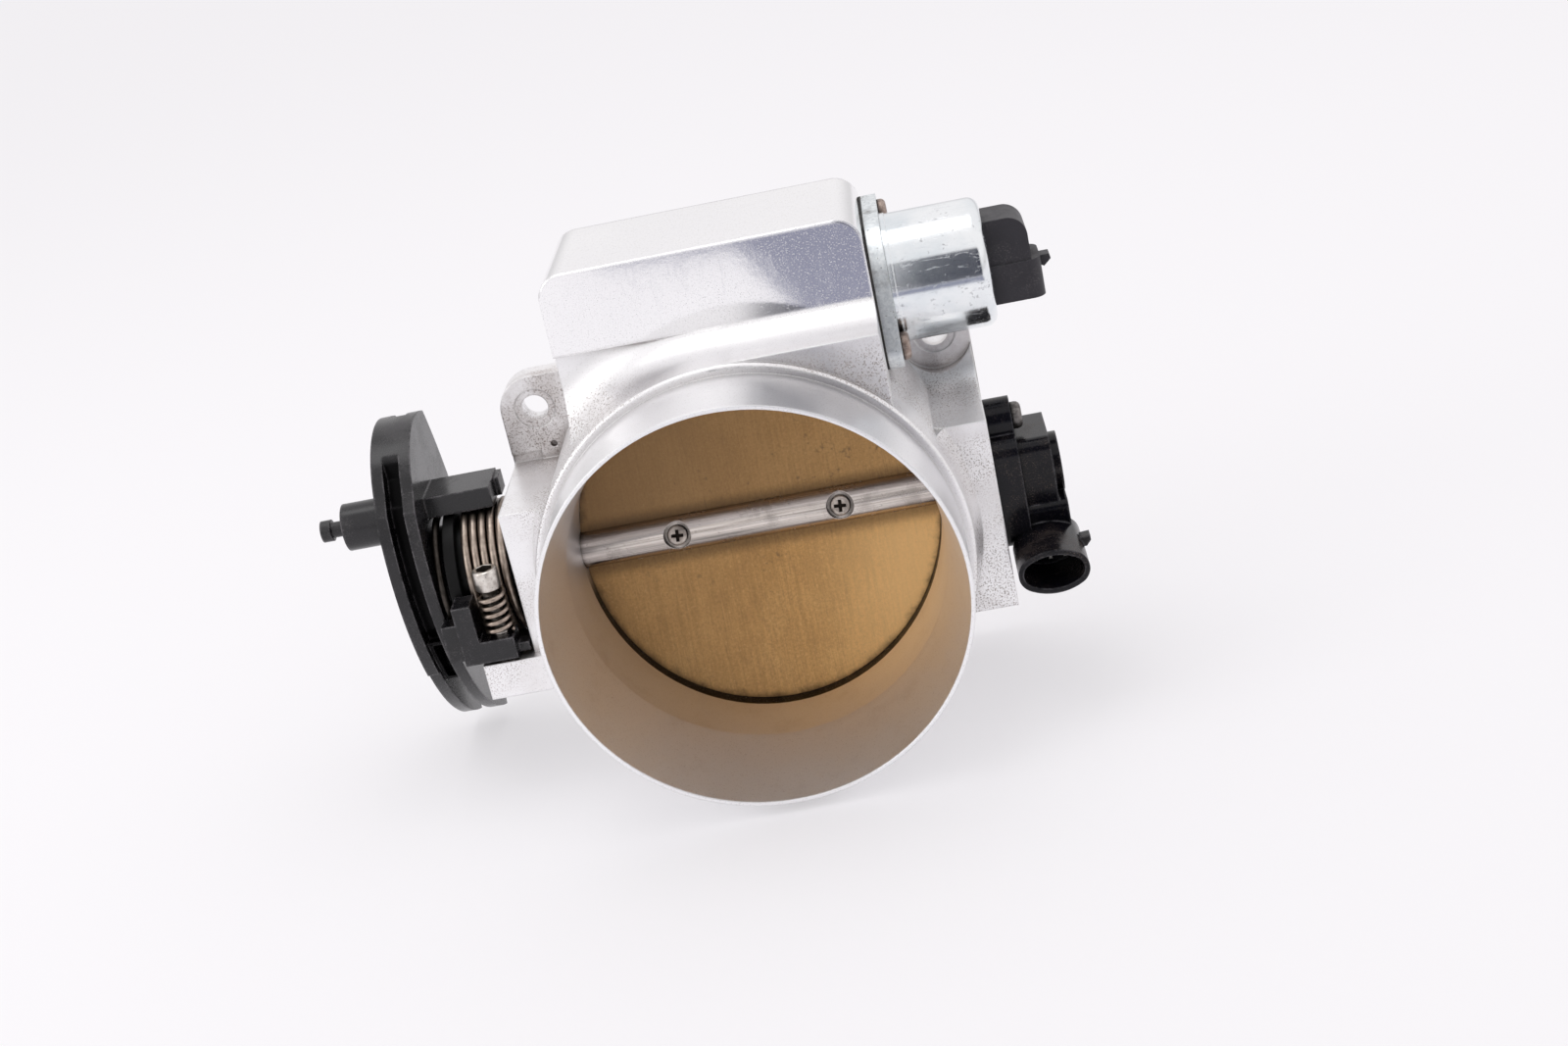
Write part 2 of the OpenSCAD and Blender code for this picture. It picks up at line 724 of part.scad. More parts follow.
// An oval of four arcs: end circles of radius r at +-half, and flatter arcs that reach +-top
module oval(r, half, top) {
    flat = (half * half + top * top - r * r) / (2 * (top - r));
    meet = flat * half / (flat - r);
    for (side = [-half, half]) translate([side, 0]) circle(r);
    intersection() {
        translate([0, top - flat]) circle(flat);
        translate([0, flat - top]) circle(flat);
        translate([-meet, -top]) square([2 * meet, 2 * top]);
    }
}

module tps_cover() {
    x = tps_x + tps_base_t;
    color([0.08, 0.08, 0.085]) difference() {
        union() {
            slab_x(x, tps_cover_t) round_rect([-11, -13], [11, 11], 3);
            rod_x(x + tps_cover_t - eps, 2.2, 7.5, shaft_y, 0.7);
            slab_x(x + eps, tps_cover_t + 2) round_rect([-12, -21], [-2, -5.5], 2);
            translate([barrel_at[0], 0, barrel_at[1]]) slab_y(barrel_y[0], barrel_y[1])
                oval(barrel_r, barrel_half, barrel_top);
            slab_y(shaft_y - 20, shaft_y - 16.5) polygon([[78, barrel_at[1] + 3.2],
                [80.6, barrel_at[1] + 3.4], [80.6, barrel_at[1] + 2.2], [79.4, barrel_at[1] + 0.8],
                [78, barrel_at[1] + 0.8]]);
        }
        rod_x(x - 1, card_x + 2 - x, card_r);
        translate([barrel_at[0], 0, barrel_at[1]]) slab_y(barrel_y[0] - 1, barrel_y[0] + 15)
            oval(barrel_r - 1.3, barrel_half, barrel_top - 1.3);
        for (ear = tps_ears) rod_x(x - 1, 12, 3.9, shaft_y + ear[0], ear[1]);
        box([tps_x, shaft_y - 14, -30], [x, shaft_y + 5, 10]);
    }
}

module tps_seal() {
    color([0.5, 0.2, 0.1]) difference() {
        rod_x(tps_x, 2, 9);
        rod_x(tps_x - 1, 4, 7.3);
    }
}

module tps_rotor() {
    color([0.8, 0.78, 0.72]) difference() {
        union() {
            rod_x(tps_x + 1, tps_base_t - 0.8, rotor_r);
            rod_x(tps_x + tps_base_t + 0.1, 2.6, 8.2);
        }
        translate([0, shaft_y, 0])
            box([tps_x, -shaft_r, -tang_half], [tang_x + 0.2, shaft_r, tang_half]);
        rod_x(tps_x, tang_start - tps_x, shaft_r);
    }
}

module tps_element() {
    color([0.15, 0.3, 0.2]) rod_x(card_x, 1, card_r);
}

module tps_screws() {
    color([0.4, 0.36, 0.32])
        for (ear = tps_ears) {
            y = shaft_y + ear[0];
            rod_x(tps_x - 8, tps_base_t + 8, 1.6, y, ear[1]);
            difference() {
                rod_x(tps_x + tps_base_t, 2.6, 3.4, y, ear[1]);
                rod_x(tps_x + tps_base_t + 1.1, 2, 1.9, y, ear[1]);
            }
        }
}

module tps_terminals() {
    color([0.75, 0.68, 0.45])
        for (x = [-3.6, 0, 3.6])
            translate([barrel_at[0] + x - 0.4, barrel_y[0] + 9, barrel_at[1] - 0.4]) cube([0.8, 6, 0.8]);
}

housing();
bearing_left();
bearing_right();
seal_left();
seal_right();
passage_plug();
throttle_shaft();
throttle_blade();
blade_screws();
cable_cam();
cam_insert();
cam_washer();
cam_nut();
return_spring();
helper_spring();
spring_guide();
spring_spacer();
idle_screw();
idle_screw_spring();
iac_gasket();
iac_flange();
iac_can();
iac_screws();
iac_stator();
iac_rotor();
iac_pintle();
iac_pintle_spring();
iac_connector();
iac_terminals();
tps_base();
tps_cover();
tps_seal();
tps_rotor();
tps_element();
tps_screws();
tps_terminals();
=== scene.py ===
"""Looks of the cable-operated throttle body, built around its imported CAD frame.

Row frame, in metres: origin at the centre of the engine-side face on the bore axis, +Y into the
engine, +X along the shaft towards the position sensor, +Z up.
"""
import json
import math

import bpy
from mathutils import Matrix, Vector


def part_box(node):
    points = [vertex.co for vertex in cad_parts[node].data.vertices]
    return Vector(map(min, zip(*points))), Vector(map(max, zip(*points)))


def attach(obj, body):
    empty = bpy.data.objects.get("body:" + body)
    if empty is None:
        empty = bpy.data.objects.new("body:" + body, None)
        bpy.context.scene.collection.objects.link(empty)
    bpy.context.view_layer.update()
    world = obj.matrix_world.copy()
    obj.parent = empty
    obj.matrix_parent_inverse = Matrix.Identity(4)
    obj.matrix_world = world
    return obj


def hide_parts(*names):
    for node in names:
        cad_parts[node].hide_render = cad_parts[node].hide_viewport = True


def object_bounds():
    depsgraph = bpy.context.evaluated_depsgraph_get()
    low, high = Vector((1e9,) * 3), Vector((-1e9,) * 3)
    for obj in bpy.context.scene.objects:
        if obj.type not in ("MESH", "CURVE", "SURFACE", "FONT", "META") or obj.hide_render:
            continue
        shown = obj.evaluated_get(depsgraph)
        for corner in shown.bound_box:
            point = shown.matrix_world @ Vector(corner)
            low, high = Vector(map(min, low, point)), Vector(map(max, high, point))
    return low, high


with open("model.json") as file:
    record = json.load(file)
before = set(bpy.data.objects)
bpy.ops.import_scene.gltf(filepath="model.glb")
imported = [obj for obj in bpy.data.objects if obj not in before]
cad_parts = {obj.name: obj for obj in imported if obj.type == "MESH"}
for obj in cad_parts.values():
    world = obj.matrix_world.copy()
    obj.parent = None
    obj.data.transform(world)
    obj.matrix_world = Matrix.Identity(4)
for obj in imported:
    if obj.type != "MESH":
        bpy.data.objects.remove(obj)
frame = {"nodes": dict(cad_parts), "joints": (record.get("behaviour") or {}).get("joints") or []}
cad_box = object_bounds()
scene = bpy.context.scene
MM = 0.001

# ---------------------------------------------------------------- places used in several sections

SHAFT_Y = frame["joints"][0]["pos_m"][1]
# cosine and sine of the closed blade's lean
LEAN_COS, LEAN_SIN = 0.9781, 0.2079
# how far along the shaft each blade screw is from the bore axis
BLADE_SCREW_X = 0.021
# the cam's cable groove, from one flange to the other along the shaft
CAM_GROOVE = (-0.0891, -0.0847)


# ---------------------------------------------------------------- node helpers


class Shader:
    """A material's node tree, with short calls for the nodes used here. Patterns live in the row frame."""

    def __init__(self, name):
        self.material = bpy.data.materials.new(name)
        self.material.use_nodes = True
        self.tree = self.material.node_tree
        self.tree.nodes.clear()
        self.out = self.add("ShaderNodeOutputMaterial")
        self.bsdf = self.add("ShaderNodeBsdfPrincipled")
        self.tree.links.new(self.bsdf.outputs[0], self.out.inputs[0])
        coordinates = self.add("ShaderNodeTexCoord")
        self.place = coordinates.outputs["Object"]
        self.heights = []

    def add(self, kind, **settings):
        node = self.tree.nodes.new(kind)
        for key, value in settings.items():
            setattr(node, key, value)
        return node

    def link(self, source, target):
        if isinstance(source, (int, float, tuple, list)):
            target.default_value = source
        else:
            self.tree.links.new(source, target)

    def set(self, **values):
        for key, value in values.items():
            socket = self.bsdf.inputs[key.replace("_", " ")]
            if isinstance(value, tuple) and len(value) == 3:
                value = (*value, 1.0)
            self.link(value, socket)

    def math(self, operation, a, b=0.5, clamp=False):
        node = self.add("ShaderNodeMath", operation=operation, use_clamp=clamp)
        self.link(a, node.inputs[0])
        self.link(b, node.inputs[1])
        return node.outputs[0]

    def scaled(self, scale=(1, 1, 1), turn=(0, 0, 0)):
        node = self.add("ShaderNodeMapping")
        self.link(self.place, node.inputs["Vector"])
        node.inputs["Scale"].default_value = scale
        node.inputs["Rotation"].default_value = turn
        return node.outputs[0]

    def noise(self, scale, detail=3.0, rough=0.55, stretch=None, distort=0.0):
        node = self.add("ShaderNodeTexNoise")
        self.link(self.scaled(stretch) if stretch else self.place, node.inputs["Vector"])
        node.inputs["Scale"].default_value = scale
        node.inputs["Detail"].default_value = detail
        node.inputs["Roughness"].default_value = rough
        node.inputs["Distortion"].default_value = distort
        return node.outputs["Fac"]

    def band(self, value, low, high, smooth=True):
        """0 below low, 1 above high. With low above high, the other way round."""
        node = self.add("ShaderNodeMapRange")
        if smooth:
            node.interpolation_type = "SMOOTHSTEP"
        flip = low > high
        self.link(value, node.inputs["Value"])
        node.inputs["From Min"].default_value = min(low, high)
        node.inputs["From Max"].default_value = max(low, high)
        node.inputs["To Min"].default_value = 1.0 if flip else 0.0
        node.inputs["To Max"].default_value = 0.0 if flip else 1.0
        return node.outputs["Result"]

    def mix(self, factor, a, b):
        node = self.add("ShaderNodeMix", data_type="RGBA")
        self.link(factor, node.inputs[0])
        for value, socket in ((a, node.inputs[6]), (b, node.inputs[7])):
            if isinstance(value, tuple) and len(value) == 3:
                value = (*value, 1.0)
            self.link(value, socket)
        return node.outputs[2]

    def lerp(self, factor, a, b):
        node = self.add("ShaderNodeMix", data_type="FLOAT")
        self.link(factor, node.inputs[0])
        self.link(a, node.inputs[2])
        self.link(b, node.inputs[3])
        return node.outputs[0]

    def product(self, *values):
        result = values[0]
        for value in values[1:]:
            result = self.math("MULTIPLY", result, value)
        return result

    def axes(self):
        node = self.add("ShaderNodeSeparateXYZ")
        self.link(self.place, node.inputs[0])
        return node.outputs[0], node.outputs[1], node.outputs[2]

    def radius(self, centre, axis):
        """Distance from the line through centre along axis (0, 1 or 2)."""
        away = self.add("ShaderNodeVectorMath", operation="SUBTRACT")
        self.link(self.place, away.inputs[0])
        away.inputs[1].default_value = centre
        flat = self.add("ShaderNodeVectorMath", operation="MULTIPLY")
        self.link(away.outputs[0], flat.inputs[0])
        flat.inputs[1].default_value = tuple(0.0 if i == axis else 1.0 for i in range(3))
        length = self.add("ShaderNodeVectorMath", operation="LENGTH")
        self.link(flat.outputs[0], length.inputs[0])
        return length.outputs["Value"]

    def facing(self, direction):
        """How squarely the surface faces a direction of the row frame, from -1 to 1."""
        geometry = self.add("ShaderNodeNewGeometry")
        local = self.add("ShaderNodeVectorTransform", vector_type="NORMAL",
                         convert_from="WORLD", convert_to="OBJECT")
        self.link(geometry.outputs["Normal"], local.inputs[0])
        dot = self.add("ShaderNodeVectorMath", operation="DOT_PRODUCT")
        self.link(local.outputs[0], dot.inputs[0])
        dot.inputs[1].default_value = direction
        return dot.outputs["Value"]

    def edges(self, radius):
        """A rounded normal, and a mask of the sharp edges."""
        rounded = self.add("ShaderNodeBevel", samples=4)
        self.link(radius, rounded.inputs["Radius"])
        geometry = self.add("ShaderNodeNewGeometry")
        dot = self.add("ShaderNodeVectorMath", operation="DOT_PRODUCT")
        self.link(rounded.outputs[0], dot.inputs[0])
        self.link(geometry.outputs["Normal"], dot.inputs[1])
        self.rounded = rounded.outputs[0]
        return self.band(dot.outputs["Value"], 0.985, 0.82)

    def cavity(self, distance):
        """1 deep in corners and recesses, 0 on open faces: the mask used to paint shade, and dirt, into
        hollows.
        """
        node = self.add("ShaderNodeAmbientOcclusion", samples=4)
        node.inputs["Distance"].default_value = distance
        return self.band(node.outputs["AO"], 0.85, 0.35)

    def bump(self, height, distance, strength=1.0):
        self.heights.append((height, distance, strength))

    def finish(self):
        """Chains the bumps on the rounded normal, and gives the material."""
        normal = getattr(self, "rounded", None)
        for height, distance, strength in self.heights:
            node = self.add("ShaderNodeBump")
            self.link(strength, node.inputs["Strength"])
            node.inputs["Distance"].default_value = distance
            self.link(height, node.inputs["Height"])
            if normal is not None:
                self.link(normal, node.inputs["Normal"])
            normal = node.outputs[0]
        if normal is not None:
            self.link(normal, self.bsdf.inputs["Normal"])
        return self.material


def speckle(s, scale, low, high, patch_scale=30.0):
    """Small dark specks of dirt, gathered in patches."""
    specks = s.band(s.noise(scale, 2.0, 0.6), low, high)
    patches = s.band(s.noise(patch_scale, 3.0, 0.6), 0.42, 0.62)
    return s.product(specks, patches)


# ---------------------------------------------------------------- materials


def billet():
    """Machined aluminium: polished block, turned tube, stained bore, and dirt near ears and bosses, with
    painted shade in corners and a painted shadow in front of the blade.
    """
    s = Shader("billet_aluminium")
    x, y, z = s.axes()
    wide = s.math("ABSOLUTE", x)
    polished = s.product(s.band(z, 0.0560, 0.0574), s.band(wide, 0.0402, 0.0396))
    edge = s.edges(s.lerp(polished, 0.0006, 0.0012))
    from_axis = s.radius((0, 0, 0), 1)
    cavity = s.cavity(0.004)

    cloud = s.noise(18.0, 4.0, 0.6)
    tone = s.mix(s.band(cloud, 0.3, 0.7), (0.935, 0.93, 0.94), (0.975, 0.97, 0.975))

    # the bore and the tapered mouth are stained warm grey, most of all next to the blade
    inside = s.band(from_axis, 0.0500, 0.0497)
    blotch = s.math("MULTIPLY", s.math("SUBTRACT", s.noise(40.0, 4.0, 0.6), 0.5), 0.008)
    deep = s.math("ADD", y, blotch)
    stain = s.mix(s.band(deep, -0.072, -0.058), (0.94, 0.945, 0.955), (0.93, 0.93, 0.945))
    stain = s.mix(s.band(deep, -0.0550, -0.0515), stain, (0.89, 0.88, 0.89))
    stain = s.mix(s.band(deep, -0.045, -0.032), stain, (0.84, 0.82, 0.825))
    flecks = s.math("MULTIPLY", s.band(s.noise(90.0, 5.0, 0.7), 0.5, 0.8), 0.20)
    stain = s.mix(flecks, stain, (0.48, 0.42, 0.38))
    # a thin near-black band on the lower half of the bore, just in front of the closed blade: painted shadow
    # of the gap between blade and bore
    to_blade = s.math("SUBTRACT", s.math("MULTIPLY", s.math("ADD", y, -SHAFT_Y), LEAN_COS),
                      s.math("MULTIPLY", z, LEAN_SIN))
    painted_gap_shadow = s.product(s.band(to_blade, -0.0044, -0.0039), s.band(to_blade, 0.0016, 0.0010),
                     s.band(z, -0.002, -0.012))
    stain = s.mix(painted_gap_shadow, stain, (0.012, 0.009, 0.008))
    tone = s.mix(inside, tone, stain)

    # dirt: specks over the shelf, the bosses and the ears
    low_parts = s.math("MAXIMUM", s.band(z, 0.054, 0.046), s.band(wide, 0.0385, 0.042))
    grime_area = s.product(low_parts, s.band(from_axis, 0.0512, 0.0530))
    film = s.product(s.band(s.noise(45.0, 5.0, 0.65), 0.40, 0.75), grime_area)
    tone = s.mix(s.math("MULTIPLY", film, 0.30), tone, (0.62, 0.565, 0.535))
    shelf = s.product(s.band(y, -0.049, -0.0535), s.band(z, 0.030, 0.036), s.band(from_axis, 0.0512, 0.0530))
    tone = s.mix(s.math("MULTIPLY", shelf, 0.10), tone, (0.56, 0.51, 0.495))
    right_boss = s.product(s.band(x, 0.046, 0.051), s.band(z, 0.004, -0.016))
    grime_at = s.math("MAXIMUM", s.band(s.noise(34.0, 3.0, 0.6), 0.42, 0.62),
                      s.math("MULTIPLY", s.math("MAXIMUM", shelf, right_boss), 0.9))
    specks = s.band(s.noise(2300.0, 2.0, 0.6), 0.51, 0.63)
    grime = s.product(specks, grime_at, grime_area)
    tone = s.mix(s.math("MULTIPLY", grime, 0.65), tone, (0.24, 0.18, 0.15))

    # brown film at the roots of the bolt ears and over the spot faces
    ear = s.product(s.band(wide, 0.040, 0.047), s.band(y, -0.012, -0.0085), s.band(y, -0.003, -0.006))
    ear_dirt = s.product(ear, s.band(s.noise(70.0, 5.0, 0.7), 0.30, 0.62))
    tone = s.mix(s.math("MULTIPLY", ear_dirt, 0.45), tone, (0.40, 0.345, 0.32))

    # fine dust, bright wear on the edges, and dark corners and recesses: dirt and painted shade
    dust = s.band(s.noise(3000.0, 1.0, 0.5), 0.60, 0.70)
    tone = s.mix(s.math("MULTIPLY", dust, 0.30), tone, (0.50, 0.475, 0.465))
    tone = s.mix(s.math("MULTIPLY", cavity, s.lerp(inside, 0.65, 0.25)), tone, (0.24, 0.205, 0.19))
    tone = s.mix(s.math("MULTIPLY", edge, 0.6), tone, (0.98, 0.98, 0.98))

    scuffs = s.band(s.noise(1.0, 4.0, 0.65, stretch=(420.0, 700.0, 160.0), distort=0.8), 0.50, 0.72)
    lint = s.product(s.band(s.noise(3100.0, 1.0, 0.5), 0.62, 0.70), polished,
                     s.band(s.facing((0, -1, 0)), 0.4, 0.8), 0.7)
    tone = s.mix(lint, tone, (0.97, 0.97, 0.97))
    rough = s.lerp(polished, 0.30, 0.055)
    rough = s.lerp(inside, rough, 0.40)
    rough = s.math("ADD", rough, s.math("MULTIPLY", s.noise(60.0, 4.0, 0.6), s.lerp(polished, 0.06, 0.03)))
    rough = s.math("ADD", rough, s.math("ADD", s.product(scuffs, polished, 0.045),
                                        s.math("MULTIPLY", lint, 0.6)))
    rough = s.math("ADD", rough, s.math("MULTIPLY", film, 0.2))
    rough = s.math("ADD", rough, s.math("MULTIPLY", grime, 0.3))

    # turning marks round the bore axis, and long milling scratches on the block
    rings = s.noise(1.0, 2.0, 0.5, stretch=(60.0, 9000.0, 60.0))
    s.bump(rings, 0.00002, s.lerp(polished, 0.35, 0.0))
    s.bump(s.math("MULTIPLY", s.noise(30.0, 3.0, 0.6), polished), 0.0002, 0.08)
    s.bump(s.noise(700.0, 3.0, 0.6), 0.00004, 0.10)
    s.set(Base_Color=tone, Metallic=1.0, Roughness=rough)
    return s.finish()


def brass_blade():
    """Brushed brass with upright streaks, sooty round the rim and next to the shaft, with painted shade above
    and to the left and a painted highlight at the lower right.
    """
    s = Shader("brushed_brass")
    s.edges(0.0003)
    x, y, z = s.axes()
    streak = s.noise(1.0, 4.0, 0.65, stretch=(900.0, 40.0, 40.0))
    fine = s.noise(1.0, 3.0, 0.6, stretch=(3200.0, 120.0, 120.0))
    cloud = s.noise(38.0, 5.0, 0.65)
    grain = s.noise(1500.0, 3.0, 0.75)
    tone = s.mix(s.band(streak, 0.3, 0.7), (0.53, 0.298, 0.108), (0.69, 0.392, 0.147))
    tone = s.mix(s.math("MULTIPLY", s.band(cloud, 0.42, 0.72), 0.45), tone, (0.80, 0.49, 0.20))
    tone = s.mix(s.math("MULTIPLY", s.band(cloud, 0.50, 0.30), 0.40), tone, (0.42, 0.235, 0.095))
    tone = s.mix(s.math("MULTIPLY", s.band(fine, 0.50, 0.72), 0.40), tone, (0.30, 0.18, 0.085))
    tone = s.mix(s.math("MULTIPLY", s.band(grain, 0.45, 0.70), 0.45), tone, (0.32, 0.185, 0.085))
    tone = s.mix(s.math("MULTIPLY", s.band(grain, 0.45, 0.28), 0.35), tone, (0.92, 0.60, 0.28))
    # painted shade darkens the upper half and the left; a painted highlight brightens the lower right
    painted_shade_upper_left = s.math("ADD", s.math("MULTIPLY", s.band(z, -0.006, 0.010), 0.40),
                  s.math("MULTIPLY", s.band(x, 0.030, -0.030), 0.36))
    tone = s.mix(painted_shade_upper_left, tone, (0.24, 0.150, 0.080))
    # painted highlight on the lower right of the blade
    tone = s.mix(s.product(s.band(x, 0.002, 0.040), s.band(z, 0.0, -0.012), 0.7), tone, (0.98, 0.62, 0.27))
    from_axis = s.radius((0, 0, 0), 1)
    ragged = s.math("ADD", from_axis, s.math("MULTIPLY", s.noise(160.0, 5.0, 0.7), 0.006))
    rim = s.band(ragged, 0.0470, 0.0505)
    root = s.band(s.math("ABSOLUTE", z), 0.0085, 0.0050)
    soot = s.math("MAXIMUM", s.math("MULTIPLY", rim, 0.75), s.math("MULTIPLY", root, 0.50))
    tone = s.mix(soot, tone, (0.085, 0.062, 0.042))
    stains = speckle(s, 420.0, 0.62, 0.74, 22.0)
    tone = s.mix(s.math("MULTIPLY", stains, 0.6), tone, (0.16, 0.11, 0.07))
    rough = s.math("ADD", s.math("MULTIPLY", streak, 0.2),
                   s.math("ADD", s.math("MULTIPLY", soot, 0.25), 0.36))
    s.bump(streak, 0.00003, 0.10)
    s.bump(fine, 0.00002, 0.10)
    s.bump(grain, 0.00002, 0.25)
    s.set(Base_Color=tone, Metallic=1.0, Roughness=rough)
    return s.finish()


def steel(name, light, dark, rough, soot=0.3, grain=(60.0, 3000.0, 3000.0), soot_tone=(0.12, 0.095, 0.08)):
    """Ground or plated steel with fine grinding lines, sooty patches, and recesses darkened by dirt and
    painted shade.
    """
    s = Shader(name)
    edge = s.edges(0.0003)
    lines = s.noise(1.0, 3.0, 0.6, stretch=grain)
    patch = s.noise(140.0, 5.0, 0.65)
    tone = s.mix(s.band(lines, 0.3, 0.7), dark, light)
    mask = s.math("MULTIPLY", s.band(patch, 0.5, 0.72), soot)
    tone = s.mix(mask, tone, soot_tone)
    specks = s.band(s.noise(1300.0, 2.0, 0.6), 0.64, 0.74)
    tone = s.mix(s.math("MULTIPLY", specks, min(1.0, soot + 0.15)), tone, soot_tone)
    # recesses and corners darkened to a soot tone: dirt and painted shade
    tone = s.mix(s.math("MULTIPLY", s.cavity(0.0022), 0.85), tone, tuple(c * 0.4 for c in soot_tone))
    tone = s.mix(s.math("MULTIPLY", edge, 0.5), tone, tuple(min(1.0, c * 1.15) for c in light))
    s.bump(lines, 0.00002, 0.25)
    roughness = s.math("ADD", s.math("MULTIPLY", patch, 0.22),
                       s.math("ADD", s.math("MULTIPLY", mask, 0.3), rough))
    s.set(Base_Color=tone, Metallic=1.0, Roughness=roughness)
    return s.finish()


def zinc_can():
    """Zinc plate: bluish white metal with hairline scuffs and a few dark flecks."""
    s = Shader("zinc_plate")
    edge = s.edges(0.0006)
    cloud = s.noise(55.0, 4.0, 0.6)
    tone = s.mix(s.band(cloud, 0.35, 0.7), (0.74, 0.79, 0.82), (0.90, 0.92, 0.93))
    scuff = s.noise(1.0, 5.0, 0.7, stretch=(260.0, 900.0, 900.0), distort=1.2)
    scuffs = s.band(scuff, 0.56, 0.68)
    tone = s.mix(s.math("MULTIPLY", scuffs, 0.35), tone, (0.52, 0.54, 0.58))
    flecks = speckle(s, 800.0, 0.62, 0.72, 60.0)
    tone = s.mix(s.math("MULTIPLY", flecks, 0.55), tone, (0.25, 0.25, 0.27))
    tone = s.mix(s.math("MULTIPLY", edge, 0.5), tone, (0.93, 0.95, 0.96))
    rough = s.math("ADD", 0.09, s.math("ADD", s.math("MULTIPLY", cloud, 0.08),
                                       s.math("MULTIPLY", scuffs, 0.3)))
    s.bump(scuff, 0.00002, 0.15)
    s.bump(s.noise(500.0, 3.0, 0.6), 0.00002, 0.06)
    s.set(Base_Color=tone, Metallic=1.0, Roughness=rough)
    return s.finish()


def plastic(name, base, worn, rough, dust_tone, dust=0.3, shine=0.5, coarse=0.12, hollow=0.004, wear=0.0005,
            groove=None):
    """Moulded plastic with dust in its pores, lighter rubbed edges, painted shade in its hollows and a faint
    moulded texture.
    """
    s = Shader(name)
    edge = s.edges(wear)
    cloud = s.noise(40.0, 4.0, 0.6)
    tone = s.mix(s.band(cloud, 0.3, 0.75), base, tuple(c * 1.6 for c in base))
    up = s.band(s.facing((0, 0, 1)), -0.2, 1.0)
    specks = s.band(s.noise(2600.0, 2.0, 0.6), 0.54, 0.68)
    patches = s.band(s.noise(75.0, 5.0, 0.7), 0.44, 0.66)
    film = s.product(patches, s.math("ADD", s.math("MULTIPLY", up, 0.6), 0.4))
    tone = s.mix(s.math("MULTIPLY", film, dust * 0.35), tone, dust_tone)
    dusty = s.product(specks, s.math("ADD", s.math("MULTIPLY", patches, 0.9), 0.1), dust * 1.6)
    tone = s.mix(dusty, tone, dust_tone)
    # hollows darkened towards black: painted shade
    cavity = s.cavity(hollow)
    tone = s.mix(s.math("MULTIPLY", cavity, 0.8), tone, tuple(c * 0.25 for c in base))
    broken = s.band(s.noise(300.0, 4.0, 0.7), 0.35, 0.62)
    tone = s.mix(s.product(edge, broken, 0.8), tone, worn)
    s.bump(s.noise(900.0, 3.0, 0.6), 0.00005, coarse)
    if groove:
        # the cable groove's floor is painted near black and matt: painted shade
        x, y, z = s.axes()
        low, high = groove
        sunk = s.product(s.band(x, low, low + 0.0003), s.band(x, high, high - 0.0003),
                         s.band(z, 0.0362, 0.0335))
        tone = s.mix(s.math("MULTIPLY", sunk, 0.8), tone, (0.0012, 0.0011, 0.0012))
        shine = s.lerp(sunk, shine, 0.06)
    roughness = s.math("ADD", rough, s.math("ADD", s.math("MULTIPLY", film, 0.2),
                                            s.math("MULTIPLY", specks, 0.1)))
    s.set(Base_Color=tone, Specular_IOR_Level=shine, Roughness=roughness)
    return s.finish()


def cam_plastic():
    """The cam's glossy black plastic, with the cable groove between the flanges painted near black and matt:
    painted shade.
    """
    return plastic("cam_plastic", (0.0060, 0.0056, 0.0070), (0.24, 0.225, 0.24), 0.20, (0.20, 0.185, 0.19),
                   dust=0.16, shine=0.50, coarse=0.04, hollow=0.010, wear=0.0008, groove=CAM_GROOVE)


def flat_rubber(name, base, dust_tone):
    s = Shader(name)
    s.edges(0.0003)
    tone = s.mix(s.band(s.noise(500.0, 4.0, 0.7), 0.4, 0.7), base, dust_tone)
    s.bump(s.noise(1200.0, 3.0, 0.6), 0.00005, 0.3)
    s.set(Base_Color=tone, Roughness=0.75)
    return s.finish()


